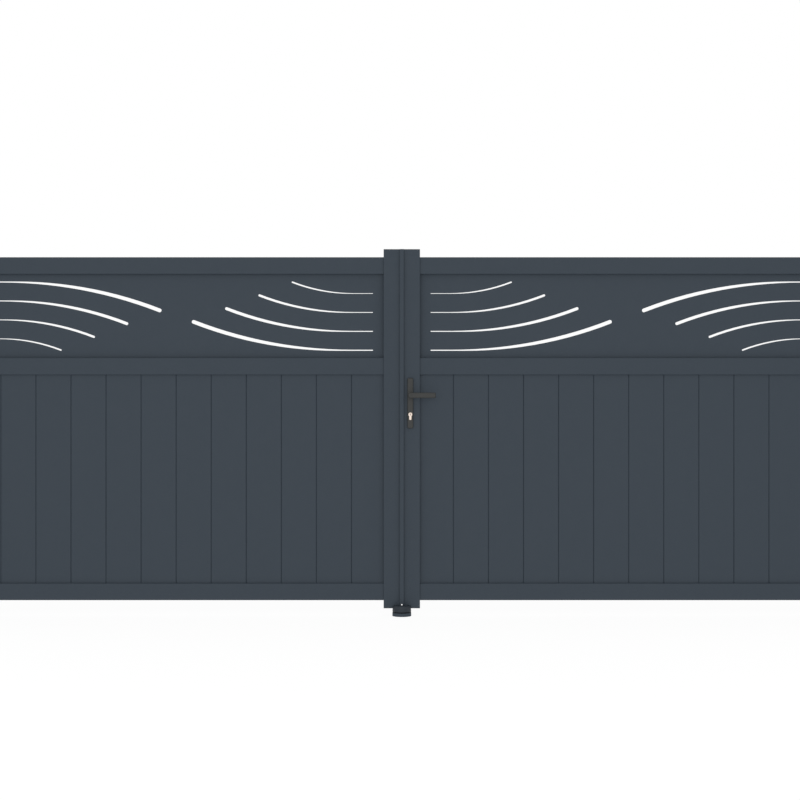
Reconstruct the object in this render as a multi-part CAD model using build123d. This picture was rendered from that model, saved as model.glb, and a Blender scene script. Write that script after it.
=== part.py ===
from build123d import *
import os
from math import cos, radians, sin

# Swing driveway gate with two leaves of aluminium profiles. Millimetres.
# Origin: middle of the underside of the left post's foot plate.
# +X runs along the gate to the right post, +Y into the property, +Z up.
# Both leaves swing into the property. Street side is -Y.

# Leaf frame
STILE_H = 1600.0  # stile with its two end caps
STILE_W = 78.0
STILE_D = 50.0
STILE_WALL = 2.5
STILE_OVERRUN = 35.0  # stile past the rails, above and below
STILE_CAP_T = 3.0
STILE_CAP_EDGE = 0.8
RAIL_H = 75.0
RAIL_D = 36.0
RAIL_WALL = 2.5
PROFILE_R = 2.5  # outer corners of the stiles and rails
CLEAR_W = 1851.0  # between the two stiles of a leaf
UPPER_CLEAR = 374.0  # between top and middle rails
GROUND_GAP = 32.0  # under the stiles
MEETING_GAP = 6.0  # between the two meeting stiles

# Infill
SHEET_T = 3.0
SHEET_LAP = 15.0  # sheet inside stiles and top rail
BOARD_T = 18.0
BOARD_NOMINAL_W = 156.0
BOARD_WALL = 1.5
BOARD_LAPS = 28.0  # a row of boards inside its two stiles, together
LEFT_ROW_LAP = 15.0  # left row inside its hinge stile
RIGHT_ROW_LAP = 7.0  # right row inside its meeting stile
BOARD_LAP_TOP = 20.0  # boards inside the middle rail
BOARD_VEE = 2.5  # bevel on the long edges of a board
TONGUE_T = 6.0
TONGUE_L = 8.0
INFILL_FIT = 0.3  # play of sheet and boards in their slots
LAP_ROOM = 4.0  # free depth behind sheet and boards in a stile
DRAIN_W = 6.0  # drain slots in the bottom rail
DRAIN_L = 25.0
DRAIN_COUNT = 3

# Curved slots in the sheet, counted from the longest
SLOT_COUNT = 4
SLOT_MARGIN = 48.2  # narrow ends from the stile
SLOT_LOW = 152.6  # lowest narrow end below the middle of the sheet
SLOT_PITCH = 84.6  # narrow ends, one above the other
TIP_SIDE = 75.6  # longest slot's round tip from the middle of the sheet
TIP_LOW = 25.5  # the same tip below the middle of the sheet
TIP_STEP_X = 147.3
TIP_STEP_Z = 59.1
TIP_ANGLE = 21.3  # rise of a slot at its tip, degrees
SLOT_NARROW = 4.4  # width of the longest slot at its narrow end
SLOT_NARROW_STEP = 0.67
SLOT_WIDE = 16.4  # width of the longest slot at its tip
SLOT_WIDE_STEP = 3.3

# Hinges
HINGE_TO_POST = 31.0  # turning axis to the post
HINGE_TO_STILE = 31.0  # turning axis to the stile
HINGE_INSET = 150.0  # hinge middle from the end of the stile
PIN_R = 8.0
PIN_PLAY = 0.1  # radial play of the eye on its pin
PIN_HEAD_R = 12.0
PIN_HEAD_T = 4.0
PIN_TAIL = 6.0
EYE_WALL = 7.0
EYE_H = 32.0
EYE_EDGE = 1.0
EYE_PLAY = 0.3  # under and over the eye
WASHER_T = 2.0
SHANK_R = 10.0
SHANK_IN_STILE = 34.0
SHANK_PLAY = 0.3
NUT_FLATS = 30.0
NUT_T = 12.0
EAR_T = 8.0
EAR_EDGE = 8.0  # ear round the pin
BRACKET_T = 6.0
BRACKET_W = 50.0
BRACKET_H = 120.0
BRACKET_R = 5.0
BRACKET_HOLE_R = 4.5
BRACKET_HOLE_EDGE = 11.0

# Posts
POST_SIDE = 150.0
POST_WALL = 4.0
POST_R = 5.0
POST_TOP = 1696.0  # under the cap
POST_CAP_T = 6.0
POST_CAP_PLUG = 20.0
POST_CAP_RIM = 3.0
POST_CAP_PLAY = 0.5
FOOT_SIDE = 220.0
FOOT_T = 12.0
FOOT_R = 8.0
ANCHOR_PITCH = 180.0
ANCHOR_R = 7.0

# Cover strip on the left meeting stile
STRIP_W = 18.0
STRIP_T = 4.5
STRIP_FOOT_W = 5.0
STRIP_STAND = 5.5  # strip in front of the stiles
STRIP_UP = 20.0  # lower end above the lower end of the stile
STRIP_DOWN = 0.5  # upper end below the upper end of the stile
STRIP_R = 1.5
STRIP_LEAD_W = 5.0  # slanting cut behind the free edge of the strip
STRIP_LEAD_T = 2.5

# Lock and handle on the right meeting stile
LEVER_Z = 980.5  # above the ground
BACKSET = 35.0  # stile edge to lever axis
CYLINDER_DROP = 85.0  # lever axis to cylinder axis
PLATE_W = 26.0
PLATE_T = 9.0
PLATE_ABOVE = 77.0
PLATE_BELOW = 147.0
PLATE_CORNER = 6.0
PLATE_EDGE = 4.0
NECK_R = 9.0
NECK_PLAY = 0.3
LEVER_STAND = 36.0  # plate to the back of the grip
LEVER_BACK = 10.3  # axis to the round hub end
LEVER_REACH = 112.5  # axis to the free end
LEVER_H = 24.5
LEVER_T = 12.0
LEVER_CORNER = 6.0  # at the free end, seen from the street
LEVER_EDGE = 5.0
DISH_R = 24.0  # shallow dish in the front of the hub
DISH_DEEP = 1.1
LEVER_TAIL = 4.0  # lever clear of the plate at the neck
HUB_LINE = 21.0  # joint line on the lever, from the axis
HUB_LINE_W = 1.0
HUB_LINE_DEEP = 0.8
SPINDLE = 8.0
SPINDLE_IN = 24.0  # spindle inside a neck
SPINDLE_PLAY = 0.1
FOLLOWER_R = 6.5
CYL_R = 8.5
CYL_TAIL_W = 10.0
CYL_H = 33.0
CYL_PROUD = 1.5  # cylinder in front of its plate
CYL_PLAY = 0.3  # lock and stile round the cylinder
CYL_GAP = 0.9  # plate round the cylinder
PLUG_R = 6.4  # turning plug in the face of the cylinder
PLUG_LINE_W = 0.4
PLUG_LINE_DEEP = 0.8
KEY_W = 2.6
KEY_H = 8.5
KEY_DEEP = 14.0
FACE_W = 24.0
FACE_H = 240.0
FACE_T = 3.0
FACE_PLAY = 0.3
CASE_T = 16.0
CASE_H = 190.0
CASE_DEEP = 46.0
CASE_ABOVE = 45.0  # lock case above the lever axis
BOLT_T = 12.0
LATCH_H = 28.0
DEADBOLT_H = 38.0
BOLT_IN = 1.0  # bolt ends behind the faceplate
KEEP_PLAY = 3.0  # strike plate openings round the bolts

# Ground stop
STOP_R = 42.0
STOP_RIM = 1.0  # chamfer on the foot and on the ring
STOP_BASE_H = 15.0
RING_H = 5.0  # rubber ring between foot and body
RING_IN = 0.6  # ring behind the edge of the body
STOP_NECK_R = 36.0
STOP_BODY_R = 41.6
STOP_MID_R = 40.9  # half way up the body
STOP_TOP_R = 38.0
STOP_H = 47.0
STOP_EDGE = 4.0
STOP_AHEAD = 8.0  # middle of the stop in front of the leaves
STOP_UNDER = 7.0  # leaves above the low part of the stop
STOP_CLEAR = 5.5  # leaves behind the rubber pad
PAD_T = 4.0
PAD_EDGE = 3.0
STOP_HOLE_R = 5.5
STOP_HOLE_PITCH = 44.0
STOP_HOLE_BACK = 18.0  # holes behind the middle of the stop

# Places along the gate
HINGE_L = POST_SIDE / 2 + HINGE_TO_POST
LEAF_X = HINGE_L + HINGE_TO_STILE
PANEL_X = LEAF_X + STILE_W
MEET_X = PANEL_X + CLEAR_W
LEAF_END = MEET_X + STILE_W
CENTRE_X = LEAF_END + MEETING_GAP / 2
POST_R_X = 2 * CENTRE_X
HINGE_R = POST_R_X - HINGE_L
MIRROR = Plane.YZ.offset(CENTRE_X)

# Heights
STILE_Z = GROUND_GAP
STILE_TOP = STILE_Z + STILE_H
RAIL_Z = STILE_Z + STILE_OVERRUN
TOP_Z = STILE_TOP - STILE_OVERRUN - RAIL_H
MID_Z = TOP_Z - UPPER_CLEAR - RAIL_H
WEB = RAIL_WALL
WEB_UP = RAIL_H / 2 + WEB / 2  # top of a rail's middle web
BOARD_Z = RAIL_Z + WEB_UP
BOARD_TOP = MID_Z + BOARD_LAP_TOP
SHEET_Z = MID_Z + WEB_UP
SHEET_TOP = TOP_Z + SHEET_LAP
SHEET_MID_X = PANEL_X + CLEAR_W / 2
SHEET_MID_Z = MID_Z + RAIL_H + UPPER_CLEAR / 2
HINGE_ZS = (STILE_Z + HINGE_INSET, STILE_TOP - HINGE_INSET)

# Sizes that follow
ROW_LAPS = (LEFT_ROW_LAP, BOARD_LAPS - LEFT_ROW_LAP, RIGHT_ROW_LAP, BOARD_LAPS - RIGHT_ROW_LAP)
LAP_DEEP = max(SHEET_LAP, *ROW_LAPS) + LAP_ROOM
BOARD_SPAN = CLEAR_W + BOARD_LAPS
BOARD_N = round(BOARD_SPAN / BOARD_NOMINAL_W)
BOARD_PITCH = BOARD_SPAN / BOARD_N
FRONT = -STILE_D / 2
STOP_Y = FRONT - STOP_AHEAD
HANDLE_X = LEAF_END + MEETING_GAP + BACKSET
CYL_Z = LEVER_Z - CYLINDER_DROP
FACE_Z = LEVER_Z - (PLATE_BELOW - PLATE_ABOVE) / 2


def block(x0, x1, y0, y1, z0, z1):
    """Box between two corners."""
    return Pos((x0 + x1) / 2, (y0 + y1) / 2, (z0 + z1) / 2) * Box(x1 - x0, y1 - y0, z1 - z0)


def rod(x, y, z0, z1, r):
    """Upright cylinder."""
    return Pos(x, y, (z0 + z1) / 2) * Cylinder(r, z1 - z0)


def rod_y(x, z, y0, y1, r):
    """Cylinder along Y."""
    return Pos(x, (y0 + y1) / 2, z) * Rot(90, 0, 0) * Cylinder(r, y1 - y0)


def upright(face, z0, z1):
    """Plan outline, drawn with x to the right and y back, raised from z0 to z1."""
    return extrude(Plane.XY.offset(z0) * face, z1 - z0)


def through(face, y0, y1):
    """Outline seen from the street, x right and z up, run back from y0 to y1."""
    plane = Plane((0, y0, 0), x_dir=(1, 0, 0), z_dir=(0, -1, 0))
    return extrude(plane * face, y0 - y1)


def other_side(shape):
    """The same piece on the other side of the middle of the gate."""
    return mirror(shape, about=MIRROR)


def write(node, *solids):
    """Each node is one file."""
    pieces = [s for shape in solids for s in shape.solids()]
    export_step(Compound(children=pieces) if len(pieces) > 1 else pieces[0], f"parts/{node}.step")


# Stile: tube with a cross web, so that the side towards the infill is a channel. The channel's
# wall is slotted for the sheet and the boards. Drawn with the outer edge at x = 0.
def stile(infill_at):
    outline = Pos(STILE_W / 2, 0) * RectangleRounded(STILE_W, STILE_D, PROFILE_R)
    inside_d = STILE_D - 2 * STILE_WALL
    web_x = STILE_W - LAP_DEEP - STILE_WALL
    main = Pos((STILE_WALL + web_x) / 2, 0) * Rectangle(web_x - STILE_WALL, inside_d)
    channel_w = LAP_DEEP - STILE_WALL
    channel = Pos(STILE_W - LAP_DEEP + channel_w / 2, 0) * Rectangle(channel_w, inside_d)
    tube = upright(outline - main - channel, STILE_Z + STILE_CAP_T, STILE_TOP - STILE_CAP_T)
    cut = STILE_WALL * 1.5
    for thick, z0, z1 in ((SHEET_T, SHEET_Z, SHEET_TOP), (BOARD_T, BOARD_Z, BOARD_TOP)):
        half = thick / 2 + INFILL_FIT
        slot = block(STILE_W - cut, STILE_W + cut, -half, half, z0 - INFILL_FIT, z1 + INFILL_FIT)
        tube -= slot
    if infill_at < 0:
        tube = mirror(tube, about=Plane.YZ.offset(STILE_W / 2))
    return tube


def stile_caps(x0, outer_first):
    """Top and bottom caps of one stile, each with a plug in the stile's main chamber."""
    outline = Pos(STILE_W / 2, 0) * RectangleRounded(STILE_W, STILE_D, PROFILE_R)
    length = STILE_W - LAP_DEEP - 2 * STILE_WALL - 2 * INFILL_FIT
    depth = STILE_D - 2 * STILE_WALL - 2 * INFILL_FIT
    from_edge = STILE_WALL + INFILL_FIT + length / 2
    plug = Pos(from_edge if outer_first else STILE_W - from_edge, 0) * Rectangle(length, depth)
    plug_h = 4 * STILE_CAP_T
    top_z = STILE_TOP - STILE_CAP_T
    low_z = STILE_Z + STILE_CAP_T
    top = upright(outline, top_z, STILE_TOP) + upright(plug, top_z - plug_h, top_z)
    low = upright(outline, STILE_Z, low_z) + upright(plug, low_z, low_z + plug_h)
    top = chamfer(top.faces().sort_by(Axis.Z)[-1].edges(), STILE_CAP_EDGE)
    return [Pos(x0, 0, 0) * top, Pos(x0, 0, 0) * low]


# Rail: tube with a web at half height. Slots above and below take the infill.
def rail(z0, above, below):
    plane = Plane((PANEL_X, 0, z0 + RAIL_H / 2), x_dir=(0, 1, 0), z_dir=(1, 0, 0))
    face = RectangleRounded(RAIL_D, RAIL_H, PROFILE_R)
    chamber_h = (RAIL_H - WEB) / 2 - RAIL_WALL
    for side, thick in ((1, above), (-1, below)):
        middle = side * (WEB / 2 + chamber_h / 2)
        face -= Pos(0, middle) * Rectangle(RAIL_D - 2 * RAIL_WALL, chamber_h)
        if thick:
            gap = thick + 2 * INFILL_FIT
            face -= Pos(0, side * RAIL_H / 2) * Rectangle(gap, 3 * RAIL_WALL)
    return extrude(plane * face, CLEAR_W)


def drained(bar, z0):
    """Rail with drain slots through its web and its underside."""
    for i in range(DRAIN_COUNT):
        x = PANEL_X + CLEAR_W * (i + 0.5) / DRAIN_COUNT
        slot = Pos(x, 0) * SlotOverall(DRAIN_L, DRAIN_W)
        bar -= upright(slot, z0 - RAIL_WALL, z0 + WEB_UP + RAIL_WALL)
    return bar


def curved_slot(i):
    """Slot number i as seen from the street, with the meeting stile on the right. Both edges start
    level at the narrow end and turn up in one arc each, and a half circle closes the tip."""
    narrow = SLOT_NARROW - SLOT_NARROW_STEP * i
    wide = SLOT_WIDE - SLOT_WIDE_STEP * i
    x_end = CLEAR_W / 2 - SLOT_MARGIN
    z_end = -SLOT_LOW + SLOT_PITCH * i
    x_tip = TIP_SIDE + TIP_STEP_X * i
    z_tip = -TIP_LOW + TIP_STEP_Z * i
    turn = radians(TIP_ANGLE)
    edges = []
    ends = []
    for side in (1, -1):
        level = z_end + side * narrow / 2
        tip = (x_tip + side * wide / 2 * sin(turn), z_tip + side * wide / 2 * cos(turn))
        radius = (tip[1] - level) / (1 - cos(turn))
        start = tip[0] + radius * sin(turn)
        half = turn / 2
        mid = (start - radius * sin(half), level + radius * (1 - cos(half)))
        edges.append(Line((x_end, level), (start, level)))
        edges.append(ThreePointArc((start, level), mid, tip))
        ends.append(tip)
    nose = (x_tip - wide / 2 * cos(turn), z_tip + wide / 2 * sin(turn))
    edges.append(ThreePointArc(ends[0], nose, ends[1]))
    edges.append(Line((x_end, z_end + narrow / 2), (x_end, z_end - narrow / 2)))
    return make_face(edges)


def cut_sheet():
    """Sheet with one group of slots at each end, the second turned half round."""
    low = SHEET_Z - SHEET_MID_Z
    high = SHEET_TOP - SHEET_MID_Z
    width = CLEAR_W + 2 * SHEET_LAP
    face = Pos(0, (low + high) / 2) * Rectangle(width, high - low)
    for i in range(SLOT_COUNT):
        slot = curved_slot(i)
        face -= slot
        face -= Rot(0, 0, 180) * slot
    sheet = through(face, -SHEET_T / 2, SHEET_T / 2)
    return Pos(SHEET_MID_X, 0, SHEET_MID_Z) * sheet


def board_profile():
    """Hollow tongue-and-groove board in plan, groove at x = 0, tongue at the far edge."""
    wide = BOARD_PITCH - INFILL_FIT
    half = BOARD_T / 2
    tongue = TONGUE_T / 2
    groove = tongue + INFILL_FIT
    deep = TONGUE_L + INFILL_FIT
    outline = [
        (BOARD_VEE, -half),
        (wide - BOARD_VEE, -half),
        (wide, -half + BOARD_VEE),
        (wide, -tongue),
        (wide + TONGUE_L, -tongue),
        (wide + TONGUE_L, tongue),
        (wide, tongue),
        (wide, half - BOARD_VEE),
        (wide - BOARD_VEE, half),
        (BOARD_VEE, half),
        (0, half - BOARD_VEE),
        (0, groove),
        (deep, groove),
        (deep, -groove),
        (0, -groove),
        (0, -half + BOARD_VEE),
    ]
    face = make_face(Polyline(*outline, close=True))
    first = deep + BOARD_WALL
    last = wide - BOARD_WALL - BOARD_VEE
    chamber = (last - first - BOARD_WALL) / 2
    for x in (first + chamber / 2, last - chamber / 2):
        face -= Pos(x, 0) * Rectangle(chamber, BOARD_T - 2 * BOARD_WALL)
    return face


def boards(start):
    """Row of boards from left to right, the same way round in both leaves."""
    face = board_profile()
    row = []
    for i in range(BOARD_N):
        shape = upright(face, BOARD_Z, BOARD_TOP)
        if i == BOARD_N - 1:
            shape -= block(BOARD_PITCH - INFILL_FIT, 2 * BOARD_PITCH, -BOARD_T, BOARD_T, 0, STILE_TOP)
        row.append(Pos(start + i * BOARD_PITCH, 0, 0) * shape)
    return row


# Hinge: a forked bracket and its pin on the post, a threaded eye with a nut on the leaf.
EYE_R = PIN_R + PIN_PLAY + EYE_WALL
EAR_R = PIN_R + EAR_EDGE
EYE_Z0 = -EYE_H / 2
FORK_Z0 = EYE_Z0 - EYE_PLAY - WASHER_T
FORK_Z1 = EYE_H / 2 + EYE_PLAY


def hinge_eye(z):
    eye = rod(HINGE_L, 0, z - EYE_H / 2, z + EYE_H / 2, EYE_R)
    eye = chamfer(eye.edges().filter_by(GeomType.CIRCLE), EYE_EDGE)
    length = HINGE_TO_STILE + SHANK_IN_STILE
    shank = Pos(HINGE_L + length / 2, 0, z) * Rot(0, 90, 0) * Cylinder(SHANK_R, length)
    return eye + shank - rod(HINGE_L, 0, z - EYE_H, z + EYE_H, PIN_R + PIN_PLAY)


def hinge_nut(z):
    plane = Plane((LEAF_X - NUT_T, 0, z), x_dir=(0, 1, 0), z_dir=(1, 0, 0))
    corner_r = NUT_FLATS / 2 / cos(radians(30))
    hexagon = extrude(plane * RegularPolygon(corner_r, 6), NUT_T)
    turned = extrude(plane * Circle(corner_r), NUT_T)
    turned = chamfer(turned.edges().filter_by(GeomType.CIRCLE), (corner_r - NUT_FLATS / 2) * 0.8)
    return (hexagon & turned) - extrude(plane * Circle(SHANK_R), NUT_T)


def hinge_bracket(z):
    post_face = POST_SIDE / 2
    half_w = BRACKET_W / 2
    half_h = BRACKET_H / 2
    plane = Plane((post_face, 0, z), x_dir=(0, 1, 0), z_dir=(1, 0, 0))
    bracket = extrude(plane * RectangleRounded(BRACKET_W, BRACKET_H, BRACKET_R), BRACKET_T)
    ear = Pos(HINGE_L, 0) * Circle(EAR_R)
    ear += Pos((post_face + HINGE_L) / 2, 0) * Rectangle(HINGE_L - post_face, 2 * EAR_R)
    ear -= Pos(HINGE_L, 0) * Circle(PIN_R)
    bracket += upright(ear, z + FORK_Z0 - EAR_T, z + FORK_Z0)
    bracket += upright(ear, z + FORK_Z1, z + FORK_Z1 + EAR_T)
    y = half_w - BRACKET_HOLE_EDGE
    dz = half_h - BRACKET_HOLE_EDGE
    for sy in (-y, y):
        for sz in (z - dz, z + dz):
            bracket -= Pos(post_face, sy, sz) * Rot(0, 90, 0) * Cylinder(BRACKET_HOLE_R, 4 * BRACKET_T)
    return bracket


def hinge_pin(z):
    top = z + FORK_Z1 + EAR_T
    pin = rod(HINGE_L, 0, z + FORK_Z0 - EAR_T - PIN_TAIL, top, PIN_R)
    pin = chamfer(pin.faces().sort_by(Axis.Z)[0].edges(), PIN_R / 6)
    head = rod(HINGE_L, 0, top, top + PIN_HEAD_T, PIN_HEAD_R)
    head = chamfer(head.faces().sort_by(Axis.Z)[-1].edges(), PIN_HEAD_T / 3)
    return pin + head


def hinge_washer(z):
    low = z + FORK_Z0
    ring = rod(HINGE_L, 0, low, low + WASHER_T, EYE_R)
    return ring - rod(HINGE_L, 0, low - WASHER_T, low + 2 * WASHER_T, PIN_R)


# Posts
def post(x):
    inner = POST_SIDE - 2 * POST_WALL
    face = RectangleRounded(POST_SIDE, POST_SIDE, POST_R) - Rectangle(inner, inner)
    return Pos(x, 0, 0) * upright(face, FOOT_T, POST_TOP)


def post_foot(x):
    face = RectangleRounded(FOOT_SIDE, FOOT_SIDE, FOOT_R)
    for sx in (-ANCHOR_PITCH / 2, ANCHOR_PITCH / 2):
        for sy in (-ANCHOR_PITCH / 2, ANCHOR_PITCH / 2):
            face -= Pos(sx, sy) * Circle(ANCHOR_R)
    return Pos(x, 0, 0) * upright(face, 0, FOOT_T)


def post_cap(x):
    inner = POST_SIDE - 2 * POST_WALL - 2 * POST_CAP_PLAY
    cap = upright(RectangleRounded(POST_SIDE, POST_SIDE, POST_R), POST_TOP, POST_TOP + POST_CAP_T)
    cap = fillet(cap.faces().sort_by(Axis.Z)[-1].edges(), POST_CAP_T / 3)
    hollow = inner - 2 * POST_CAP_RIM
    rim = Rectangle(inner, inner) - Rectangle(hollow, hollow)
    cap += upright(rim, POST_TOP - POST_CAP_PLUG, POST_TOP)
    return Pos(x, 0, 0) * cap


# Ground stop: a round foot, a neck with a rubber ring, and a bulging body in front of the leaves.
BODY_Z = STOP_BASE_H + RING_H


def stop_blank():
    foot = rod(CENTRE_X, STOP_Y, 0, STOP_BASE_H, STOP_R)
    foot = chamfer(foot.faces().sort_by(Axis.Z)[-1].edges(), STOP_RIM)
    neck = rod(CENTRE_X, STOP_Y, STOP_BASE_H, BODY_Z, STOP_NECK_R)
    low, high = (STOP_BODY_R, BODY_Z), (STOP_TOP_R, STOP_H)
    outline = [
        ThreePointArc(low, (STOP_MID_R, (BODY_Z + STOP_H) / 2), high),
        Line(high, (0, STOP_H)),
        Line((0, STOP_H), (0, BODY_Z)),
        Line((0, BODY_Z), low),
    ]
    body = revolve(Plane.XZ * make_face(outline), Axis.Z)
    body = fillet(body.faces().sort_by(Axis.Z)[-1].edges(), STOP_EDGE)
    return foot + neck + Pos(CENTRE_X, STOP_Y, 0) * body


def stop_ring():
    ring = rod(CENTRE_X, STOP_Y, STOP_BASE_H, BODY_Z, STOP_BODY_R - RING_IN)
    ring = chamfer(ring.edges().filter_by(GeomType.CIRCLE), STOP_RIM)
    return ring - rod(CENTRE_X, STOP_Y, 0, STOP_H, STOP_NECK_R)


PAD_Y = FRONT - STOP_CLEAR
LIP_Y = PAD_Y - PAD_T
STOP_LOW_Z = GROUND_GAP - STOP_UNDER


def ground_stop():
    stop = stop_blank()
    stop -= block(CENTRE_X - 2 * STOP_R, CENTRE_X + 2 * STOP_R, LIP_Y, 3 * STOP_R, STOP_LOW_Z, 2 * STOP_H)
    y = STOP_Y + STOP_HOLE_BACK
    for sx in (-STOP_HOLE_PITCH / 2, STOP_HOLE_PITCH / 2):
        stop -= rod(CENTRE_X + sx, y, -STOP_H, STOP_H, STOP_HOLE_R)
    return stop


def stop_buffer():
    half = (STOP_TOP_R**2 - (LIP_Y - STOP_Y) ** 2) ** 0.5 - 2 * PAD_EDGE
    pad = block(CENTRE_X - half, CENTRE_X + half, LIP_Y, PAD_Y, STOP_LOW_Z, STOP_H - PAD_EDGE)
    return fillet(pad.edges().filter_by(Axis.Y), PAD_EDGE)


# Cover strip: stands on the left meeting stile and overlaps the right one. Behind its free edge
# a slanting cut lets it slide off the right stile.
def meeting_strip():
    z0 = STILE_Z + STRIP_UP
    z1 = STILE_TOP - STRIP_DOWN
    x0 = CENTRE_X - STRIP_W / 2
    x1 = CENTRE_X + STRIP_W / 2
    y1 = FRONT - STRIP_STAND
    cover = block(x0, x1, y1 - STRIP_T, y1, z0, z1)
    cover = fillet(cover.edges().filter_by(Axis.Z).group_by(Axis.Y)[0], STRIP_R)
    lead = Polyline((x1, y1), (x1 - STRIP_LEAD_W, y1), (x1, y1 - STRIP_LEAD_T), close=True)
    cover -= upright(make_face(lead), z0, z1)
    return cover + block(x0, x0 + STRIP_FOOT_W, y1, FRONT, z0, z1)


# Lock parts, drawn round the lever axis and the cylinder axis.
def euro_outline(play):
    """Cylinder seen from the street: a circle with a narrower round-ended tail below it."""
    tail_r = CYL_TAIL_W / 2 + play
    low = CYL_H - CYL_R - CYL_TAIL_W / 2
    face = Pos(HANDLE_X, CYL_Z) * Circle(CYL_R + play)
    face += Pos(HANDLE_X, CYL_Z - low / 2) * Rectangle(2 * tail_r, low)
    face += Pos(HANDLE_X, CYL_Z - low) * Circle(tail_r)
    return face


def lock_cylinder():
    """Brass body through both plates; each face shows the round line of the plug and the key slot."""
    reach = STILE_D / 2 + PLATE_T + CYL_PROUD
    body = through(euro_outline(0), -reach, reach)
    key = Pos(HANDLE_X, CYL_Z) * SlotOverall(KEY_H, KEY_W, rotation=90)
    line = Pos(HANDLE_X, CYL_Z) * (Circle(PLUG_R + PLUG_LINE_W) - Circle(PLUG_R))
    for face, deep in ((key, KEY_DEEP), (line, PLUG_LINE_DEEP)):
        for y in (-reach, reach):
            body -= through(face, y - deep, y + deep)
    return body


def handle_plate():
    height = PLATE_ABOVE + PLATE_BELOW
    middle = LEVER_Z + (PLATE_ABOVE - PLATE_BELOW) / 2
    face = Pos(HANDLE_X, middle) * RectangleRounded(PLATE_W, height, PLATE_CORNER)
    plate = through(face, FRONT - PLATE_T, FRONT)
    plate = fillet(plate.faces().sort_by(Axis.Y)[0].edges(), PLATE_EDGE)
    plate -= rod_y(HANDLE_X, LEVER_Z, FRONT - 2 * PLATE_T, FRONT + PLATE_T, NECK_R + NECK_PLAY)
    return plate - through(euro_outline(CYL_GAP), FRONT - 2 * PLATE_T, FRONT + PLATE_T)


NECK_Y = FRONT - LEVER_TAIL  # inner end of the neck
GRIP_Y1 = FRONT - PLATE_T - LEVER_STAND
GRIP_Y0 = GRIP_Y1 - LEVER_T


def lever():
    """Neck through the plate and a level grip with a round hub end and rounded edges."""
    x0 = HANDLE_X - LEVER_BACK
    x1 = HANDLE_X + LEVER_REACH
    hub_r = LEVER_H / 2
    face = Pos(x0 + hub_r, LEVER_Z) * Circle(hub_r)
    face += Pos((x0 + hub_r + x1) / 2, LEVER_Z) * Rectangle(x1 - x0 - hub_r, LEVER_H)
    grip = through(face, GRIP_Y0, GRIP_Y1)
    grip = fillet(grip.edges().filter_by(Axis.Y).group_by(Axis.X)[-1], LEVER_CORNER)
    rims = grip.faces().sort_by(Axis.Y)[0].edges() + grip.faces().sort_by(Axis.Y)[-1].edges()
    grip = fillet(rims, LEVER_EDGE)
    section = Plane((HANDLE_X + HUB_LINE, (GRIP_Y0 + GRIP_Y1) / 2, LEVER_Z), x_dir=(0, 1, 0), z_dir=(1, 0, 0))
    outer = Rectangle(2 * LEVER_T, 2 * LEVER_H)
    slim = 2 * HUB_LINE_DEEP
    core = RectangleRounded(LEVER_T - slim, LEVER_H - slim, LEVER_EDGE - HUB_LINE_DEEP)
    grip -= extrude(section * (outer - core), HUB_LINE_W)
    dish_x = HANDLE_X + (HUB_LINE - LEVER_BACK) / 2
    grip -= Pos(dish_x, GRIP_Y0 + DISH_DEEP - DISH_R, LEVER_Z) * Sphere(DISH_R)
    neck = rod_y(HANDLE_X, LEVER_Z, (GRIP_Y0 + GRIP_Y1) / 2, NECK_Y, NECK_R)
    socket = SPINDLE + 2 * SPINDLE_PLAY
    hole = Pos(HANDLE_X, NECK_Y - SPINDLE_IN / 2, LEVER_Z) * Box(socket, SPINDLE_IN, socket)
    return grip + neck - hole


def lever_spindle():
    end = -NECK_Y + SPINDLE_IN
    return Pos(HANDLE_X, 0, LEVER_Z) * Box(SPINDLE, 2 * end, SPINDLE)


LATCH_Z = LEVER_Z
DEADBOLT_Z = CYL_Z - BOLT_T


def mortise_lock():
    """Faceplate flush in the edge of the stile, lock case behind it, bolts drawn in."""
    x0 = LEAF_END + MEETING_GAP
    x1 = x0 + FACE_T
    plate = block(x0, x1, -FACE_W / 2, FACE_W / 2, FACE_Z - FACE_H / 2, FACE_Z + FACE_H / 2)
    case_z1 = LEVER_Z + CASE_ABOVE
    case = block(x1, x1 + CASE_DEEP, -CASE_T / 2, CASE_T / 2, case_z1 - CASE_H, case_z1)
    lock = plate + case
    for z, high in ((LATCH_Z, LATCH_H), (DEADBOLT_Z, DEADBOLT_H)):
        half = BOLT_T / 2
        lock -= block(x0 - 1, x0 + BOLT_IN, -half, half, z - high / 2, z + high / 2)
    lock -= rod_y(HANDLE_X, LEVER_Z, -STILE_D, STILE_D, FOLLOWER_R)
    return lock - through(euro_outline(CYL_PLAY), -STILE_D, STILE_D)


def strike_plate():
    x1 = LEAF_END
    plate = block(x1 - FACE_T, x1, -FACE_W / 2, FACE_W / 2, FACE_Z - FACE_H / 2, FACE_Z + FACE_H / 2)
    for z, high in ((LATCH_Z, LATCH_H), (DEADBOLT_Z, DEADBOLT_H)):
        half = BOLT_T / 2 + KEEP_PLAY / 2
        up = high / 2 + KEEP_PLAY
        plate -= block(x1 - 2 * FACE_T, x1 + FACE_T, -half, half, z - up, z + up)
    return plate


def edge_opening(x_edge):
    """Opening in the edge of a meeting stile for the faceplate or the strike plate."""
    half_w = FACE_W / 2 + FACE_PLAY
    half_h = FACE_H / 2 + FACE_PLAY
    cut = 1.5 * STILE_WALL
    return block(x_edge - cut, x_edge + cut, -half_w, half_w, FACE_Z - half_h, FACE_Z + half_h)


os.makedirs("parts", exist_ok=True)

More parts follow.
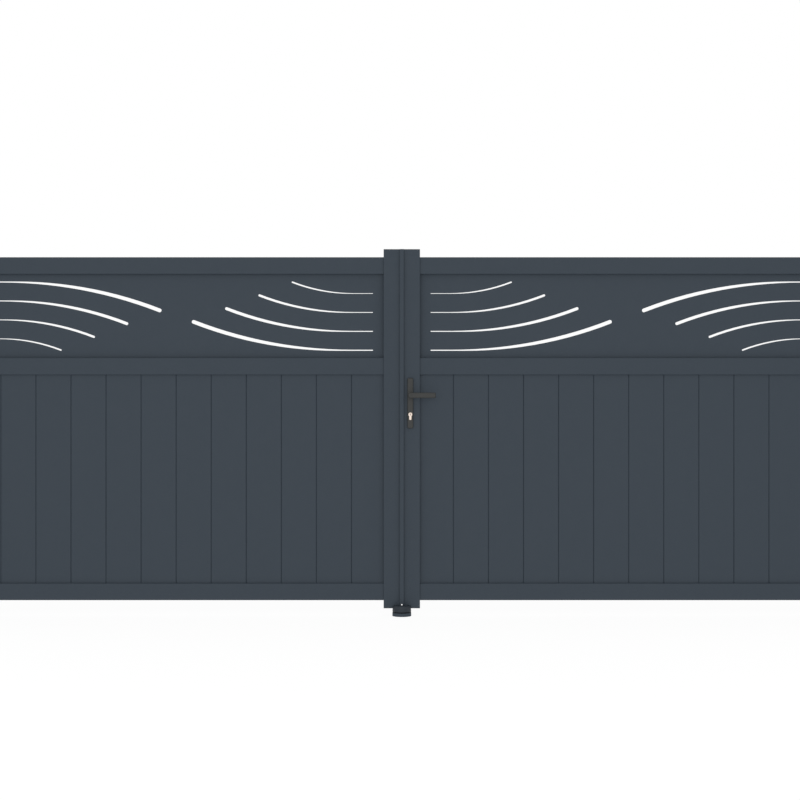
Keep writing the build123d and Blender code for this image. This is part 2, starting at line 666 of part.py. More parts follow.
# Left leaf, and the same pieces mirrored for the right leaf
hinge_stile = Pos(LEAF_X, 0, 0) * stile(1)
for hz in HINGE_ZS:
    reach = 4 * STILE_WALL
    hole = Pos(LEAF_X, 0, hz) * Rot(0, 90, 0) * Cylinder(SHANK_R + SHANK_PLAY, reach)
    hinge_stile -= hole
meeting_stile = Pos(MEET_X, 0, 0) * stile(-1)
left_meeting = meeting_stile - edge_opening(LEAF_END)
right_meeting = other_side(meeting_stile) - edge_opening(LEAF_END + MEETING_GAP)
right_meeting -= rod_y(HANDLE_X, LEVER_Z, -STILE_D, STILE_D, NECK_R + NECK_PLAY)
right_meeting -= through(euro_outline(CYL_PLAY), -STILE_D, STILE_D)
write("left_meeting_stile", left_meeting)
write("right_meeting_stile", right_meeting)

leaf = {
    "hinge_stile": [hinge_stile],
    "stile_caps": stile_caps(LEAF_X, True) + stile_caps(MEET_X, False),
    "top_rail": [rail(TOP_Z, 0, SHEET_T)],
    "middle_rail": [rail(MID_Z, SHEET_T, BOARD_T)],
    "bottom_rail": [drained(rail(RAIL_Z, BOARD_T, 0), RAIL_Z)],
    "cut_panel": [cut_sheet()],
    "hinge_eyes": [hinge_eye(z) for z in HINGE_ZS],
    "hinge_nuts": [hinge_nut(z) for z in HINGE_ZS],
}
for name, solids in leaf.items():
    write(f"left_{name}", *solids)
    write(f"right_{name}", *[other_side(s) for s in solids])

write("left_boards", *boards(PANEL_X - LEFT_ROW_LAP))
write("right_boards", *boards(2 * CENTRE_X - MEET_X - RIGHT_ROW_LAP))
write("meeting_strip", meeting_strip())
write("strike_plate", strike_plate())

# Lock and handle on the right leaf
front_plate = handle_plate()
front_lever = lever()
write("mortise_lock", mortise_lock())
write("lock_cylinder", lock_cylinder())
write("outer_handle_plate", front_plate)
write("inner_handle_plate", mirror(front_plate, about=Plane.XZ))
write("outer_lever", front_lever)
write("inner_lever", mirror(front_lever, about=Plane.XZ))
write("lever_spindle", lever_spindle())

# Posts with their hinge halves
for side, x in (("left", 0), ("right", POST_R_X)):
    write(f"{side}_post", post(x))
    write(f"{side}_post_foot", post_foot(x))
    write(f"{side}_post_cap", post_cap(x))
for name, piece in (("brackets", hinge_bracket), ("pins", hinge_pin), ("washers", hinge_washer)):
    pair = [piece(z) for z in HINGE_ZS]
    write(f"left_hinge_{name}", *pair)
    write(f"right_hinge_{name}", *[other_side(s) for s in pair])

# Stop on the ground
write("ground_stop", ground_stop())
write("stop_buffer", stop_buffer())
write("stop_ring", stop_ring())
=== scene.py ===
import bmesh
import bpy
import numpy as np
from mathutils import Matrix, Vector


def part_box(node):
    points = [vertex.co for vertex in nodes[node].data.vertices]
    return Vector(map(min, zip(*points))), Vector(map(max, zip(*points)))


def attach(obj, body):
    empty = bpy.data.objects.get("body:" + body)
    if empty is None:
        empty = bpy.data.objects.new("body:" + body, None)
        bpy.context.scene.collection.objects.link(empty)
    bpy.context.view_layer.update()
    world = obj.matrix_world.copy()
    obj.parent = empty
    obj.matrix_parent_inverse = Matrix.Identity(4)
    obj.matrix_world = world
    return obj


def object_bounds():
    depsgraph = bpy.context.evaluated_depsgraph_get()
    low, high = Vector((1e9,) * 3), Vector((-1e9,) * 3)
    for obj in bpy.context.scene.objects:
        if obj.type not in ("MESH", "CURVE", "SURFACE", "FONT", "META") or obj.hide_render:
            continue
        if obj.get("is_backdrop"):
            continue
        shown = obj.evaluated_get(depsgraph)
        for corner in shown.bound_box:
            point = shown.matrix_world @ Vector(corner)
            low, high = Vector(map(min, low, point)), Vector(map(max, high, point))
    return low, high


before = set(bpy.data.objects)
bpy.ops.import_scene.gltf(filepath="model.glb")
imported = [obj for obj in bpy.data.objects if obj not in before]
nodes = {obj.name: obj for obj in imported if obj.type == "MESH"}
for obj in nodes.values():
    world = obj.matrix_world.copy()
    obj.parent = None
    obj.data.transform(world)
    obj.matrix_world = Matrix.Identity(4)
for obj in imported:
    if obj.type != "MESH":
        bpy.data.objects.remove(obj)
cad_low, cad_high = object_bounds()
bpy.context.scene.view_settings.view_transform = "Standard"

# POSTS
# Square hollow extrusions of aluminium, degreased, sprayed with polyester powder and baked.
# The coat is a fine-textured matt film: little gloss, and a fine sandy grain, with painted shade in its pits
# and painted light on its tops that mottle the colour.
MM = 0.001


def linear(hex_colour):
    """sRGB hex to linear: c / 12.92 below 0.04045, and ((c + 0.055) / 1.055) ** 2.4 above it."""
    c = np.array([int(hex_colour[i : i + 2], 16) for i in (1, 3, 5)]) / 255
    return (*np.where(c <= 0.04045, c / 12.92, ((c + 0.055) / 1.055) ** 2.4).tolist(), 1.0)


def add(tree, kind, values=None, wires=None, **settings):
    """Adds one node with its settings, its fixed socket values and the wires that come into it."""
    made = tree.nodes.new(kind)
    for name, value in settings.items():
        setattr(made, name, value)
    for socket, value in (values or {}).items():
        made.inputs[socket].default_value = value
    for socket, source in (wires or {}).items():
        tree.links.new(source, made.inputs[socket])
    return made


def blank(name):
    """Material with an empty node tree, and the Object coordinates that its patterns read."""
    made = bpy.data.materials.new(name)
    made.use_nodes = True
    made.node_tree.nodes.clear()
    return made, made.node_tree, add(made.node_tree, "ShaderNodeTexCoord").outputs["Object"]


COAT_DEEP_MM = 0.12  # height of the grain
# Painted shade and light of the grain: the colour runs from dark in the pits to light on the tops.
GRAIN_SHADE_BAND = (0.3, 0.7)  # band of the noise that runs from dark to light
COAT_SWING = 0.06  # roughness, either way


def powder_coat(name, dark, light, rough, shine, grain_mm, cloud_mm):
    """Matt film: a sandy grain of grain_mm sets the bump, and the colour between dark and light as painted
    shade in its pits and painted light on its tops. The gloss wanders over cloud_mm. rough and shine are the
    film's roughness and specular level."""
    made, tree, place = blank(name)
    grain = add(tree, "ShaderNodeTexNoise", {"Scale": 1 / (grain_mm * MM), "Detail": 2.0}, {"Vector": place})
    cloud = add(tree, "ShaderNodeTexNoise", {"Scale": 1 / (cloud_mm * MM), "Detail": 3.0}, {"Vector": place})
    # Painted shade and light: the grain's height darkens its pits and lightens its tops.
    grain_shade = add(
        tree,
        "ShaderNodeMapRange",
        {"From Min": GRAIN_SHADE_BAND[0], "From Max": GRAIN_SHADE_BAND[1]},
        {"Value": grain.outputs[0]},
    )
    tone = add(
        tree,
        "ShaderNodeMix",
        {6: linear(dark), 7: linear(light)},
        {0: grain_shade.outputs[0]},
        data_type="RGBA",
    )
    bump = add(
        tree,
        "ShaderNodeBump",
        {"Strength": 0.35, "Distance": COAT_DEEP_MM * MM},
        {"Height": grain.outputs[0]},
    )
    matt = add(
        tree,
        "ShaderNodeMapRange",
        {"To Min": rough - COAT_SWING, "To Max": rough + COAT_SWING},
        {"Value": cloud.outputs[0]},
    )
    film = add(
        tree,
        "ShaderNodeBsdfPrincipled",
        {"Specular IOR Level": shine, "IOR": 1.5},
        {"Base Color": tone.outputs[2], "Roughness": matt.outputs[0], "Normal": bump.outputs[0]},
    )
    add(tree, "ShaderNodeOutputMaterial", wires={"Surface": film.outputs[0]})
    return made


def dress(material, *names):
    """Gives CAD nodes a material in place of the plain one that they came with."""
    for name in names:
        for slot in nodes[name].material_slots:
            slot.material = material


# To the eye: dark blue-grey, the same from every side, with no mirror image, and close by a faint mottle of
# painted grain shade and light.
# The grain of such a coat is about 0.3 mm; it is drawn at 1.1 mm, or no view would show it.
anthracite = powder_coat("anthracite fine-texture powder coat", "#353E47", "#3F4851", 0.6, 0.22, 1.1, 45)
dress(anthracite, "left_post", "right_post")

# POST FEET
# Thick aluminium plates welded under the posts, coated with them, and held down by four anchors.
# The weld is a rippled fillet all round; nuts and washers are bright zinc-plated steel.
dress(anthracite, "left_post_foot", "right_post_foot")


def surface(grid, loop=False):
    """Points, quads and end polygons of a rows-by-columns grid. Quads join neighbouring points, the last
    column to the first, and with loop the last row to the first; without it one polygon closes each end."""
    rows, cols = grid.shape[:2]
    i = np.arange(rows if loop else rows - 1)[:, None]
    j = np.arange(cols)[None, :]
    down, right = (i + 1) % rows, (j + 1) % cols
    quads = np.stack([i * cols + j, i * cols + right, down * cols + right, down * cols + j], -1)
    ends = np.array([np.arange(cols)[::-1], (rows - 1) * cols + np.arange(cols)])
    return grid.reshape(-1, 3), quads.reshape(-1, 4), ends[: 0 if loop else 2]


def piece(name, parts, material, body, sharp=35):
    """One object from several surfaces: normals turned outwards, edges over the sharp angle kept crisp."""
    points, faces, start = [], [], 0
    for verts, quads, ends in parts:
        points.append(verts)
        faces += (quads + start).tolist() + (ends + start).tolist()
        start += len(verts)
    mesh = bpy.data.meshes.new(name)
    mesh.from_pydata(np.concatenate(points).tolist(), [], faces)
    shell = bmesh.new()
    shell.from_mesh(mesh)
    bmesh.ops.recalc_face_normals(shell, faces=shell.faces)
    shell.to_mesh(mesh)
    shell.free()
    mesh.polygons.foreach_set("use_smooth", np.ones(len(mesh.polygons), dtype=bool))
    mesh.set_sharp_from_angle(angle=np.radians(sharp))
    mesh.materials.append(material)
    made = bpy.data.objects.new(name, mesh)
    bpy.context.scene.collection.objects.link(made)
    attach(made, body)
    return made


# For each way that a turned part can point: the two directions across it and the one along it.
AXES = {
    "+z": ((1, 0, 0), (0, 1, 0), (0, 0, 1)),
    "+x": ((0, 1, 0), (0, 0, 1), (1, 0, 0)),
    "-x": ((0, 0, 1), (0, 1, 0), (-1, 0, 0)),
    "+y": ((0, 0, 1), (1, 0, 0), (0, 1, 0)),
}


def turned(profile, centre, along="+z", loop=False, sides=48):
    """Turned part. Each profile row is (radius, height, flats) in mm: the radius goes round the axis, and
    where flats is over 0 it is cut to half of flats over the cosine of the angle from the nearest of
    six flats, which makes a hexagon."""
    radius, height, flats = np.array(profile, dtype=float).T[:, :, None]
    angle = np.arange(sides)[None, :] * 2 * np.pi / sides
    off = (angle + np.pi / 6) % (np.pi / 3) - np.pi / 6
    edge = np.where(flats > 0, np.minimum(radius, flats / 2 / np.cos(off)), radius)[..., None]
    u, v, w = np.array(AXES[along], dtype=float)
    ring = edge * (np.cos(angle)[..., None] * u + np.sin(angle)[..., None] * v)
    return surface((ring + height[..., None] * w) * MM + np.array(centre), loop=loop)


PLATE_SWING = 0.08  # roughness, either way


def plated(name, tint, rough, cloud_mm):
    """Metal film with faintly clouded gloss: the roughness wanders by PLATE_SWING over cloud_mm."""
    made, tree, place = blank(name)
    cloud = add(tree, "ShaderNodeTexNoise", {"Scale": 1 / (cloud_mm * MM), "Detail": 4.0}, {"Vector": place})
    gloss = add(
        tree,
        "ShaderNodeMapRange",
        {"To Min": rough - PLATE_SWING, "To Max": rough + PLATE_SWING},
        {"Value": cloud.outputs[0]},
    )
    metal = add(
        tree,
        "ShaderNodeBsdfPrincipled",
        {"Base Color": linear(tint), "Metallic": 1.0},
        {"Roughness": gloss.outputs[0]},
    )
    add(tree, "ShaderNodeOutputMaterial", wires={"Surface": metal.outputs[0]})
    return made


# To the eye: cool grey metal that mirrors the surround, blurred by the bath's clouds of about 9 mm.
zinc = plated("bright zinc-plated steel", "#B9BCBB", 0.34, 9)

# M12 anchors. Profile rows are radius, height and width across flats, mm, from the top of the plate.
NUT_ACROSS, NUT_HIGH, STUD_R = 19.0, 10.5, 6.0
NUT_CORNER, NUT_FACE = NUT_ACROSS / np.sqrt(3), NUT_ACROSS / 2 - 0.2
NUT_LOW = 2.5  # top of the washer
NUT_TOP = NUT_LOW + NUT_HIGH
ANCHOR_WASHER = [(6.6, 0, 0), (12, 0, 0), (12, 2.2, 0), (11.7, NUT_LOW, 0), (6.6, NUT_LOW, 0)]
ANCHOR_NUT = [
    (6.2, NUT_LOW, 0),
    (NUT_FACE, NUT_LOW, 0),
    (NUT_CORNER, NUT_LOW + 1, NUT_ACROSS),
    (NUT_CORNER, NUT_TOP - 1, NUT_ACROSS),
    (NUT_FACE, NUT_TOP, 0),
    (6.2, NUT_TOP, 0),
]
# The studs end a thread above their nuts, so that the open leaf passes over them.
STUD_END = 14.4
THREAD_PITCH, THREAD_DEEP = 1.75, 0.55
THREAD_Z = np.arange(0, STUD_END - 0.5, THREAD_PITCH / 4)
THREAD_R = STUD_R - THREAD_DEEP + THREAD_DEEP * np.abs((THREAD_Z / THREAD_PITCH) % 1 * 2 - 1)
ANCHOR_STUD = [(r, z, 0) for r, z in zip(THREAD_R, THREAD_Z)] + [(4.6, STUD_END, 0)]

# Weld, mm: its leg, how far each step of the torch swells it, and the length of a step.
WELD_LEG, WELD_RIPPLE, WELD_STEP = 5.0, 0.35, 3.2
WELD_ROOT = -0.1  # part of the leg that lies inside both plates
WELD_POINTS, WELD_ARC = 520, 6  # round the post and across the bead
POST_HALF, POST_CORNER = 75.0, 5.0


def weld_bead(corner, out, up, loop):
    """Quarter-round bead along a path of corner points, mm: it lies between the directions out and up, and
    its leg swells and sinks by the sine of the way run, once for each step of the torch."""
    run = np.append(0, np.cumsum(np.linalg.norm(np.diff(corner, axis=0), axis=1)))
    leg = (WELD_LEG + WELD_RIPPLE * np.abs(np.sin(np.pi * run / WELD_STEP)))[:, None, None]
    arc = np.linspace(0, np.pi / 2, WELD_ARC)
    across = np.append(np.cos(arc), WELD_ROOT)[None, :, None] * out[:, None, :]
    rise = np.append(np.sin(arc), WELD_ROOT)[None, :, None] * up[:, None, :]
    return surface((corner[:, None, :] + leg * (across + rise)) * MM, loop=loop)


def post_weld(x, foot_top):
    """Bead round a rounded square: straight runs and quarter turns, spaced evenly along the way."""
    flat, bend = 2 * (POST_HALF - POST_CORNER), POST_CORNER * np.pi / 2
    knots = np.cumsum([0] + [flat, bend] * 4)
    way = np.linspace(0, knots[-1], WELD_POINTS, endpoint=False)
    core_x = np.interp(way, knots, flat / 2 * np.array([1, 1, 1, -1, -1, -1, -1, 1, 1]))
    core_y = np.interp(way, knots, flat / 2 * np.array([-1, 1, 1, 1, 1, -1, -1, -1, -1]))
    turn = np.interp(way, knots, np.pi / 2 * np.array([0, 0, 1, 1, 2, 2, 3, 3, 4]))
    out = np.stack([np.cos(turn), np.sin(turn), 0 * turn], -1)
    place = np.array([x, 0, foot_top]) / MM
    corner = np.stack([core_x, core_y, 0 * way], -1) + POST_CORNER * out + place
    return weld_bead(corner, out, np.broadcast_to([0, 0, 1.0], corner.shape), True)


FOOT_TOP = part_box("left_post_foot")[1].z
ANCHOR_OUT = 90 * MM
for side in ("left", "right"):
    low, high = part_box(f"{side}_post")
    post_x = (low.x + high.x) / 2
    spots = [(post_x + a, b, FOOT_TOP) for a in (-ANCHOR_OUT, ANCHOR_OUT) for b in (-ANCHOR_OUT, ANCHOR_OUT)]
    parts = []
    for spot in spots:
        parts += [turned(ANCHOR_WASHER, spot, loop=True), turned(ANCHOR_NUT, spot, loop=True)]
        parts.append(turned(ANCHOR_STUD, spot, sides=24))
    piece(f"{side}_anchor_bolts", parts, zinc, "posts")
    piece(f"{side}_post_weld", [post_weld(post_x, FOOT_TOP)], anthracite, "posts")

# POST CAPS
# Flat cast lids that keep rain out of the hollow posts, coated in the same colour.
# A rim under each lid plugs into the top of its post.
dress(anthracite, "left_post_cap", "right_post_cap")

# HINGES
# Forked steel brackets, bolted to the posts by four flange bolts each. The leaf hangs on two threaded
# eyes that turn on the brackets' pins over plastic washers; a nut locks each eye to its stile.

# To the eye: the same colour on smoother steel, a shade darker and with a little more gloss.
# Its grain is drawn at 1.1 mm too.
coated_steel = powder_coat("anthracite powder coat on steel", "#333B43", "#3D454D", 0.5, 0.3, 1.1, 30)
dress(coated_steel, "left_hinge_brackets", "right_hinge_brackets")
# To the eye: grey metal with tight highlights down each round, and smaller clouds than on the bolts.
turned_steel = plated("zinc-plated turned steel", "#AEB1B0", 0.3, 5)
for side in ("left", "right"):
    dress(turned_steel, f"{side}_hinge_eyes", f"{side}_hinge_nuts", f"{side}_hinge_pins")

MOULD_DEEP_MM = 0.05  # height of the grain


def moulded(name, tint, rough, shine, grain_mm):
    """Dull one-coloured skin of plastic, rubber or oiled steel, with a shallow grain of grain_mm."""
    made, tree, place = blank(name)
    grain = add(tree, "ShaderNodeTexNoise", {"Scale": 1 / (grain_mm * MM), "Detail": 3.0}, {"Vector": place})
    bump = add(
        tree,
        "ShaderNodeBump",
        {"Strength": 0.3, "Distance": MOULD_DEEP_MM * MM},
        {"Height": grain.outputs[0]},
    )
    skin = add(
        tree,
        "ShaderNodeBsdfPrincipled",
        {"Base Color": linear(tint), "Roughness": rough, "Specular IOR Level": shine, "IOR": 1.5},
        {"Normal": bump.outputs[0]},
    )
    add(tree, "ShaderNodeOutputMaterial", wires={"Surface": skin.outputs[0]})
    return made


# To the eye: near black with a soft sheen. A spark-eroded mould leaves a grain of about 0.1 mm, which is
# drawn at 0.9 mm so that a close view shows it.
polyamide = moulded("black polyamide", "#161718", 0.45, 0.4, 0.9)
dress(polyamide, "left_hinge_washers", "right_hinge_washers")

# M8 flange bolts, as profile rows from the bracket's face.
BOLT_ACROSS = 13.0
BOLT_CORNER = BOLT_ACROSS / np.sqrt(3)
FLANGE_BOLT = [
    (8.6, 0, 0),
    (8.6, 1.0, 0),
    (7.9, 1.5, 0),
    (BOLT_CORNER, 2.0, BOLT_ACROSS),
    (BOLT_CORNER, 5.6, BOLT_ACROSS),
    (BOLT_ACROSS / 2 - 0.2, 6.4, 0),
    (4.4, 6.4, 0),
    (4.0, 6.0, 0),
]
BOLT_Y, BOLT_Z = 14 * MM, 49 * MM
BRACKET_HALF, BRACKET_THICK = 60 * MM, 6 * MM
# Undersides and tops of the fork's two ears, from the middle of the bracket, and the way of the torch, mm.
EARS = ((-26.3, -18.3), (16.3, 24.3))
EAR_WAY = np.linspace(-15, 15, 61)
for side, along, way in (("left", "+x", 1), ("right", "-x", -1)):
    low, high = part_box(f"{side}_hinge_brackets")
    face_x = (low.x if way > 0 else high.x) + way * BRACKET_THICK
    middles = (low.z + BRACKET_HALF, high.z - BRACKET_HALF)
    parts = [
        turned(FLANGE_BOLT, (face_x, a, z + b), along)
        for z in middles
        for a in (-BOLT_Y, BOLT_Y)
        for b in (-BOLT_Z, BOLT_Z)
    ]
    piece(f"{side}_hinge_bolts", parts, zinc, "posts")
    parts = []
    for z in middles:
        for ear_low, ear_high in EARS:
            for edge, rise in ((ear_low, -1.0), (ear_high, 1.0)):
                level = np.full_like(EAR_WAY, z / MM + edge)
                path = np.stack([np.full_like(EAR_WAY, face_x / MM), EAR_WAY, level], -1)
                out = np.broadcast_to([float(way), 0, 0], path.shape)
                up = np.broadcast_to([0, 0, rise], path.shape)
                parts.append(weld_bead(path, out, up, False))
    piece(f"{side}_hinge_welds", parts, coated_steel, "posts")

# LEAF FRAMES
# Stiles and rails are hollow extrusions, sawn square and screwed together from inside the stiles.
# The same coat covers them, and small plastic plugs close the holes the screws went in by.
for side in ("left", "right"):
    for part in ("hinge_stile", "meeting_stile", "top_rail", "middle_rail", "bottom_rail"):
        dress(anthracite, f"{side}_{part}")
# To the eye: the coat's colour without its speckle, smoother and a little shinier. The mould's grain is
# drawn at 0.9 mm, as on the washers.
cap_plastic = moulded("anthracite moulded ABS", "#363C43", 0.5, 0.4, 0.9)
PLUG = [(7.0, -0.2, 0), (7.0, 0.3, 0), (6.4, 0.7, 0), (3.5, 0.95, 0), (0.6, 1.0, 0)]
PLUG_UP = 18 * MM
for side, hinge_way, meet_way in (("left", "-x", "+x"), ("right", "+x", "-x")):
    parts = []
    for stile, along in (("hinge", hinge_way), ("meeting", meet_way)):
        low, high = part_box(f"{side}_{stile}_stile")
        edge_x = high.x if along == "+x" else low.x
        for part in ("top", "middle", "bottom"):
            rail_low, rail_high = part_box(f"{side}_{part}_rail")
            mid_z = (rail_low.z + rail_high.z) / 2
            parts += [turned(PLUG, (edge_x, 0, mid_z + up), along, sides=24) for up in (-PLUG_UP, PLUG_UP)]
    piece(f"{side}_screw_plugs", parts, cap_plastic, f"{side}_leaf")

# STILE CAPS
# Moulded ABS lids, tinted to match the coat.
# They are pressed into both ends of every stile and close its hollow.
dress(cap_plastic, "left_stile_caps", "right_stile_caps")

# INFILL
# Below, hollow tongue-and-groove boards; above, a flat sheet with laser-cut curved slots, all coated
# before they are slid into the frame.
dress(anthracite, "left_boards", "right_boards", "left_cut_panel", "right_cut_panel")

# COVER STRIP
# Extruded aluminium strip in the gate's coat; it closes the joint of the leaves.
# It is screwed to the left meeting stile from behind.
dress(anthracite, "meeting_strip")

# LOCK
# Mortise lock with a stainless faceplate, ground lengthwise, and a strike plate to match.
# Each plate is held by two countersunk socket screws.
LINE_LONG = 60  # length of the lines, in gaps between them
LINE_DEEP_MM = 0.03
LINE_SWING = 0.1  # roughness, either way


def ground_steel(name, dark, light, rough, line_mm):
    """Stainless steel ground along Z: lines between dark and light, line_mm apart, that also set the bump
    and the gloss. The noise is stretched LINE_LONG times along Z."""
    made, tree, place = blank(name)
    stretch = add(
        tree,
        "ShaderNodeMapping",
        {"Scale": (1 / (line_mm * MM), 1 / (line_mm * MM), 1 / (LINE_LONG * line_mm * MM))},
        {"Vector": place},
    )
    lines = add(tree, "ShaderNodeTexNoise", {"Scale": 1.0, "Detail": 3.0}, {"Vector": stretch.outputs[0]})
    gloss = add(
        tree,
        "ShaderNodeMapRange",
        {"To Min": rough - LINE_SWING, "To Max": rough + LINE_SWING},
        {"Value": lines.outputs[0]},
    )
    bump = add(
        tree,
        "ShaderNodeBump",
        {"Strength": 0.2, "Distance": LINE_DEEP_MM * MM},
        {"Height": lines.outputs[0]},
    )
    tone = add(
        tree,
        "ShaderNodeMix",
        {6: linear(dark), 7: linear(light)},
        {0: lines.outputs[0]},
        data_type="RGBA",
    )
    metal = add(
        tree,
        "ShaderNodeBsdfPrincipled",
        {"Metallic": 1.0},
        {"Base Color": tone.outputs[2], "Roughness": gloss.outputs[0], "Normal": bump.outputs[0]},
    )
    add(tree, "ShaderNodeOutputMaterial", wires={"Surface": metal.outputs[0]})
    return made


# To the eye: pale metal whose mirror image is drawn out into fine upright streaks. The belt's lines are
# about 0.1 mm apart; they are drawn 0.5 mm apart, or they would blur to a plain grey.
stainless = ground_steel("ground stainless steel", "#8F8D89", "#CFCDC8", 0.32, 0.5)
dress(stainless, "mortise_lock", "strike_plate", "lever_spindle")
SOCKET_SCREW = [(4.4, -0.6, 0), (4.4, 0.15, 0), (4.1, 0.35, 0), (1.9, 0.35, 3.0), (1.9, -1.6, 3.0)]
SCREW_IN = 9 * MM
for node, along, body in (("mortise_lock", "-x", "right_leaf"), ("strike_plate", "+x", "left_leaf")):
    low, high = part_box(node)
    edge_x = high.x if along == "+x" else low.x
    levels = (low.z + SCREW_IN, high.z - SCREW_IN)
    parts = [turned(SOCKET_SCREW, (edge_x, 0, z), along, sides=24) for z in levels]
    piece(f"{node}_screws", parts, zinc, body)

# HANDLE
# Die-cast aluminium plates and levers in a dark satin lacquer, the two levers on one square spindle.
# The profile cylinder is brass, nickel-plated, with its key slot upright.

# To the eye: warm dark grey with a soft broad shine, smoother than the coat round it. The casting's skin
# of about 0.5 mm under the lacquer is drawn at 2.2 mm.
satin = powder_coat("dark satin lacquer on cast aluminium", "#313231", "#353635", 0.42, 0.31, 2.2, 25)
dress(satin, "outer_handle_plate", "inner_handle_plate", "outer_lever", "inner_lever")
# To the eye: pale warm metal, the one bright spot on the gate, with a blurred image of the surround.
nickel = plated("satin nickel-plated brass", "#CDBFB4", 0.36, 6)
dress(nickel, "lock_cylinder")
low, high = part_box("inner_handle_plate")
plate_x = (low.x + high.x) / 2
PLATE_SCREW_IN = 14 * MM
levels = (low.z + PLATE_SCREW_IN, high.z - PLATE_SCREW_IN)
parts = [turned(SOCKET_SCREW, (plate_x, high.y, z), "+y", sides=24) for z in levels]
piece("inner_plate_screws", parts, zinc, "right_leaf")

# Painted shade: a dark slug stands in for the shade deep inside the key slot, along with the dark oiled
# steel of the wards; brown-black and without shine. Its tool marks of about 0.1 mm are drawn at 0.5 mm.
slot_shade_wards = moulded("oiled steel wards with painted slot shade", "#1A1714", 0.6, 0.2, 0.5)
# Slot's half width, half of its straight, and both ends of the slug behind the cylinder's face, mm.
KEY_R, KEY_RISE, KEY_SUNK, KEY_END = 1.2, 2.9, 1.5, 12.0
KEY_POINTS = 48
KEY_BELOW = 8.5 * MM


def wards(x, y, z, inward):
    """Dark slug in the key slot, painted shade of its depth: a circle of KEY_R, its halves moved up and down
    by
    KEY_RISE, carried inward from KEY_SUNK to KEY_END."""
    angle = np.arange(KEY_POINTS) * 2 * np.pi / KEY_POINTS
    across = KEY_R * np.cos(angle)
    rise = KEY_R * np.sin(angle) + KEY_RISE * np.sign(np.sin(angle))
    deep = inward * np.array([KEY_SUNK, KEY_END])[:, None]
    rows = np.stack(np.broadcast_arrays(across, deep, rise), -1)
    return surface(rows * MM + [x, y, z])


low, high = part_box("lock_cylinder")
key_x, key_z = (low.x + high.x) / 2, high.z - KEY_BELOW
parts = [wards(key_x, low.y, key_z, 1), wards(key_x, high.y, key_z, -1)]
piece("cylinder_wards_slot_shade", parts, slot_shade_wards, "right_leaf")

# GROUND STOP
# Cast aluminium, screwed down under the meeting stiles: the foot in the gate's coat, the body in a darker
# copy of it that is painted shade.
# A rubber pad takes the knock of the leaves; a black rubber ring lies in the groove, its black partly
# painted shade of the groove; two sunk screws hold it.

# Painted shade: the body's coat is the gate's blue-grey darkened to nearly black, with the coarser skin of a
# sand casting under the powder. Its grain of about 0.8 mm is drawn at 1.6 mm.
stop_body_shaded_coat = powder_coat("powder coat on cast aluminium with painted shade", "#272D34", "#2F363D", 0.5, 0.26, 1.6, 20)
dress(stop_body_shaded_coat, "ground_stop")
stop = nodes["ground_stop"].data
stop.materials.append(anthracite)
# The foot below the ring keeps the gate's coat; the body above it keeps the darker copy, painted shade.
ring_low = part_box("stop_ring")[0].z
centres = np.empty(3 * len(stop.polygons), dtype=np.float32)
stop.polygons.foreach_get("center", centres)
stop.polygons.foreach_set("material_index", (centres[2::3] < ring_low).astype(np.int32))
# To the eye: the blackest and dullest surface of the gate; on the ring in the groove this black is partly
# painted shade. The mould's grain is drawn at 1.2 mm.
rubber = moulded("black EPDM rubber", "#121314", 0.8, 0.2, 1.2)
dress(rubber, "stop_buffer", "stop_ring")
ANCHOR_SCREW = [(5.3, -22, 0), (5.3, -1.0, 0), (4.9, -0.5, 0), (3.4, -0.5, 6.0), (3.4, -4.5, 6.0)]
SCREW_X, SCREW_BACK = 22 * MM, 18 * MM
low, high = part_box("ground_stop")
stop_x, stop_y = (low.x + high.x) / 2, (low.y + high.y) / 2
rear_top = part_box("stop_buffer")[0].z
parts = [turned(ANCHOR_SCREW, (stop_x + a, stop_y + SCREW_BACK, rear_top)) for a in (-SCREW_X, SCREW_X)]
piece("stop_screws", parts, zinc, "posts")

# STAGE
# Seamless pale floor and soft light from all round, with one broad lamp ahead of the gate.
# Camera, mirror and see-through rays meet plain white; the floor still takes the gate's shadow.
CENTRE_X = (cad_low[0] + cad_high[0]) / 2


def seen_rays(tree):
    """1 for rays from the camera, mirrors and glass, 0 for light that falls on things."""
    path = add(tree, "ShaderNodeLightPath")
    either = add(
        tree,
        "ShaderNodeMath",
        wires={0: path.outputs["Is Camera Ray"], 1: path.outputs["Is Glossy Ray"]},
        operation="MAXIMUM",
    )
    return add(
        tree,
        "ShaderNodeMath",
        wires={0: either.outputs[0], 1: path.outputs["Is Transmission Ray"]},
        operation="MAXIMUM",
    ).outputs[0]


world = bpy.data.worlds.new("soft white surround")
bpy.context.scene.world = world
world.use_nodes = True
tree = world.node_tree
tree.nodes.clear()
SURROUND_LIGHT, SURROUND_SEEN = 0.65, 1.0
level = add(
    tree,
    "ShaderNodeMapRange",
    {"To Min": SURROUND_LIGHT, "To Max": SURROUND_SEEN},
    {"Value": seen_rays(tree)},
)
sky = add(tree, "ShaderNodeBackground", {"Color": (1, 1, 1, 1)}, {"Strength": level.outputs[0]})
add(tree, "ShaderNodeOutputWorld", wires={"Surface": sky.outputs[0]})

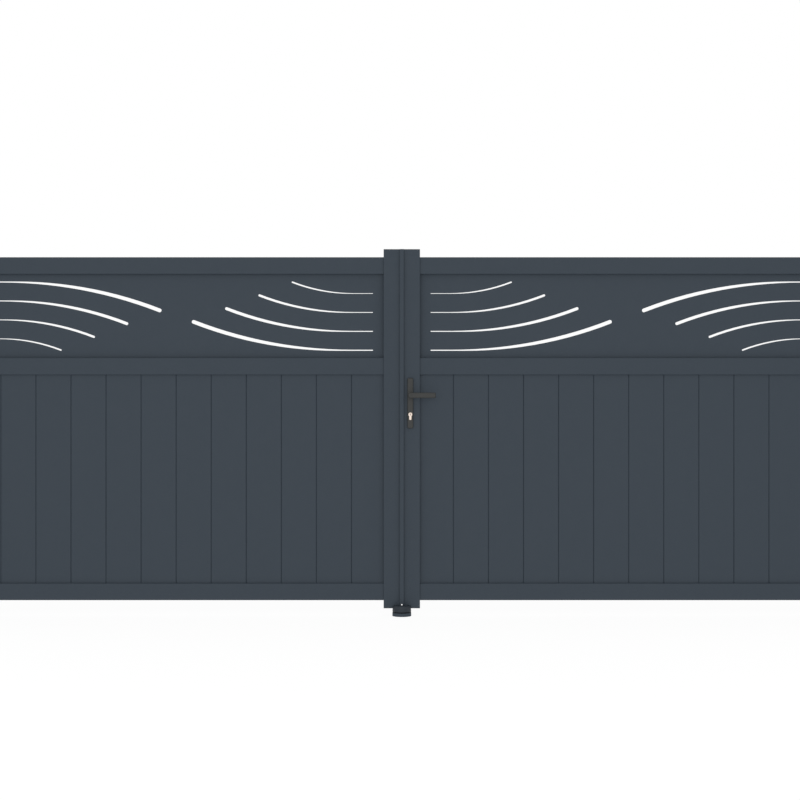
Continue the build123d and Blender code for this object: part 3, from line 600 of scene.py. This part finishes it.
# To the eye: paper white with a faint shadow. The glowing share of the paint is larger where it is seen.
FLOOR_TONE, FLOOR_GLOW = 0.93, 1.07
GLOW_LIGHT, GLOW_SEEN = 0.595, 0.86
floor_paint, tree, _ = blank("matt white floor")
matt = add(tree, "ShaderNodeBsdfDiffuse", {"Color": (FLOOR_TONE, FLOOR_TONE, FLOOR_TONE, 1)})
white = add(tree, "ShaderNodeEmission", {"Color": (1, 1, 1, 1), "Strength": FLOOR_GLOW})
share = add(
    tree,
    "ShaderNodeMapRange",
    {"To Min": GLOW_LIGHT, "To Max": GLOW_SEEN},
    {"Value": seen_rays(tree)},
)
mixed = add(
    tree,
    "ShaderNodeMixShader",
    wires={0: share.outputs[0], 1: matt.outputs[0], 2: white.outputs[0]},
)
add(tree, "ShaderNodeOutputMaterial", wires={"Surface": mixed.outputs[0]})

REACH = 30.0
corners = np.array([[-1, -1, 0], [1, -1, 0], [1, 1, 0], [-1, 1, 0]]) * REACH + [CENTRE_X, 0, 0]
mesh = bpy.data.meshes.new("floor")
mesh.from_pydata(corners.tolist(), [], [[0, 1, 2, 3]])
mesh.materials.append(floor_paint)
floor = bpy.data.objects.new("floor", mesh)
bpy.context.scene.collection.objects.link(floor)
floor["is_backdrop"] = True

# Lamp: its width, height and watts, its place left of the middle, ahead and up, and its tilt in degrees.
LAMP_WIDE, LAMP_HIGH, LAMP_WATTS = 9.0, 5.0, 130.0
LAMP_LEFT, LAMP_AHEAD, LAMP_UP = 0.6, 9.0, 2.2
LAMP_TILT, LAMP_TURN = 82, -4
lamp = bpy.data.lights.new("broad front lamp", "AREA")
lamp.shape = "RECTANGLE"
lamp.size, lamp.size_y = LAMP_WIDE, LAMP_HIGH
lamp.energy = LAMP_WATTS
lamp_object = bpy.data.objects.new("broad front lamp", lamp)
lamp_object.location = (CENTRE_X - LAMP_LEFT, -LAMP_AHEAD, LAMP_UP)
lamp_object.rotation_euler = (np.radians(LAMP_TILT), 0, np.radians(LAMP_TURN))
bpy.context.scene.collection.objects.link(lamp_object)

# The picture is 800 pixels of 4.455 mm at the stiles' front, seen from 6.8 m ahead at 0.96 m up.
DISTANCE, VIEW_WIDE, EYE_UP, ASIDE = 6.8, 800 * 4.455 * MM, 0.960, 8 * MM
camera = bpy.data.cameras.new("camera")
SENSOR = 36.0
camera.sensor_width = SENSOR
camera.lens = SENSOR * DISTANCE / VIEW_WIDE
camera.clip_end = 200.0
camera_object = bpy.data.objects.new("camera", camera)
front_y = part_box("right_meeting_stile")[0].y
camera_object.location = (CENTRE_X - ASIDE, front_y - DISTANCE, EYE_UP)
camera_object.rotation_euler = (np.pi / 2, 0, 0)
bpy.context.scene.collection.objects.link(camera_object)
bpy.context.scene.camera = camera_object

low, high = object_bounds()
